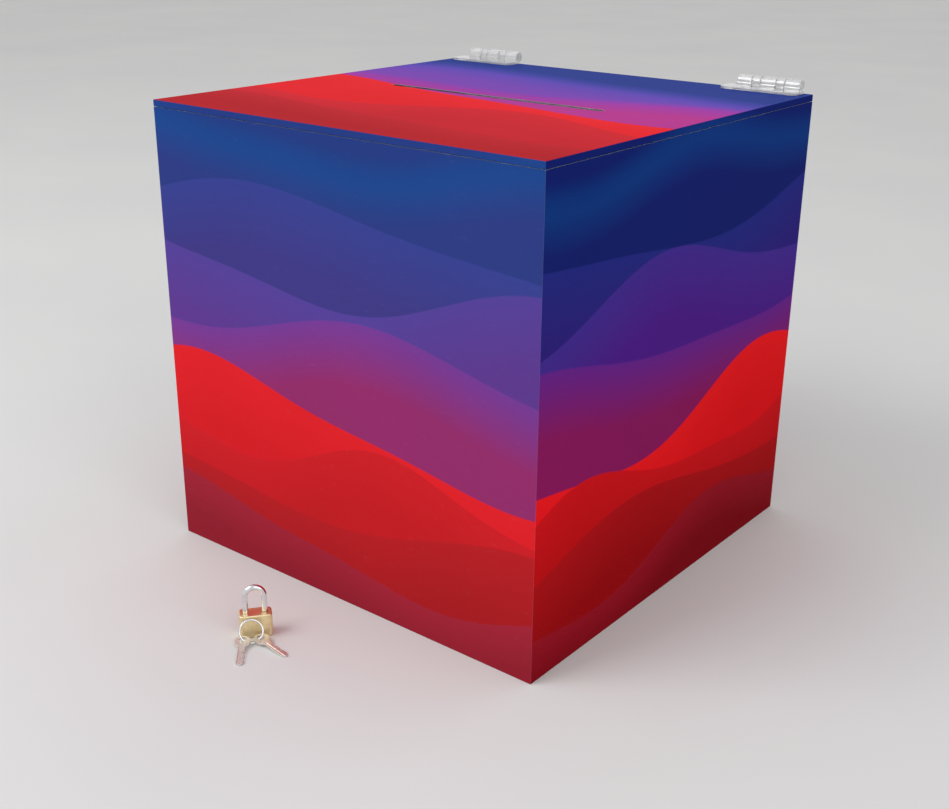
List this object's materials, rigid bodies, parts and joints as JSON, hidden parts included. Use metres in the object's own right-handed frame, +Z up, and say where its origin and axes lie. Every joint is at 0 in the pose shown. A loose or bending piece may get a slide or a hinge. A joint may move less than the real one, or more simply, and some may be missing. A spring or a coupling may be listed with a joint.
{
  "type": "suggestion box",
  "caption": "Cube suggestion box of clear acrylic dressed in printed film, with a slotted hinged lid, a lugged hasp, and a small padlock with keys on a ring beside it.",
  "frame": {"origin": "middle of the box's base on the floor", "axes": "+Z up, the front panel faces -Y, the lid's hinges run along X above the back wall on +Y, the hasp is on the left wall at -X"},
  "size_m": [0.3182, 0.4018, 0.3082],
  "materials": {
    "acrylic": "clear cast acrylic sheet with polished edges",
    "hinge_acrylic": "clear moulded acrylic, glossy",
    "wall_print": "glossy laminated print, blue at the top through violet to red at the foot",
    "lid_print": "glossy laminated print, red at the front through violet to blue at the rear",
    "lock_brass": "brushed brass with polished edges",
    "shackle_steel": "bright plated steel bar",
    "ring_steel": "bright plated wire",
    "key_nickel": "nickel plate worn warm, with milled cuts"
  },
  "bodies": {
    "box": {"front_panel": "acrylic", "back_panel": "acrylic", "left_panel": "acrylic", "right_panel": "acrylic", "base_panel": "acrylic", "front_print": "wall_print", "back_print": "wall_print", "left_print": "wall_print", "right_print": "wall_print", "box_hasp_lug": "acrylic", "hinge_back_leaf_left": "hinge_acrylic", "hinge_back_leaf_right": "hinge_acrylic", "hinge_pin_left": "hinge_acrylic", "hinge_pin_right": "hinge_acrylic"},
    "lid": {"lid_panel": "acrylic", "lid_print": "lid_print", "lid_hasp_lug": "acrylic", "hinge_lid_leaf_left": "hinge_acrylic", "hinge_lid_leaf_right": "hinge_acrylic"},
    "padlock": {"padlock_body": "lock_brass"},
    "shackle": {"padlock_shackle": "shackle_steel"},
    "plug": {"lock_plug": "lock_brass"},
    "keyring": {"key_ring": "ring_steel"},
    "left_key": {"key_left": "key_nickel"},
    "right_key": {"key_right": "key_nickel"}
  },
  "joints": [
    {"name": "lid_hinge", "type": "hinge", "parent": "box", "child": "lid", "pos_m": [0, 0.1542, 0.3042], "axis": [-1, 0, 0], "range_deg": [0, 260]},
    {"name": "padlock_lift", "type": "slide", "parent": "box", "child": "padlock", "axis": [0, 0, 1], "range_m": [0, 0.29]},
    {"name": "shackle_lift", "type": "slide", "parent": "padlock", "child": "shackle", "axis": [0, 0, 1], "range_m": [0, 0.006]},
    {"name": "plug_turn", "type": "hinge", "parent": "padlock", "child": "plug", "pos_m": [-0.012, -0.212, 0], "axis": [0, 0, 1], "range_deg": [0, 90]},
    {"name": "keyring_lift", "type": "slide", "parent": "box", "child": "keyring", "axis": [0, 0, 1], "range_m": [0, 0.3]},
    {"name": "key_left_swing", "type": "hinge", "parent": "keyring", "child": "left_key", "pos_m": [-0.00868, -0.22576, 0.00285], "axis": [0.0627, -0.0697, 0.9956], "range_deg": [-45, 30]},
    {"name": "key_right_swing", "type": "hinge", "parent": "keyring", "child": "right_key", "pos_m": [-0.00215, -0.21741, 0.00285], "axis": [0.0935, -0.0065, 0.9956], "range_deg": [-30, 45]}
  ]
}
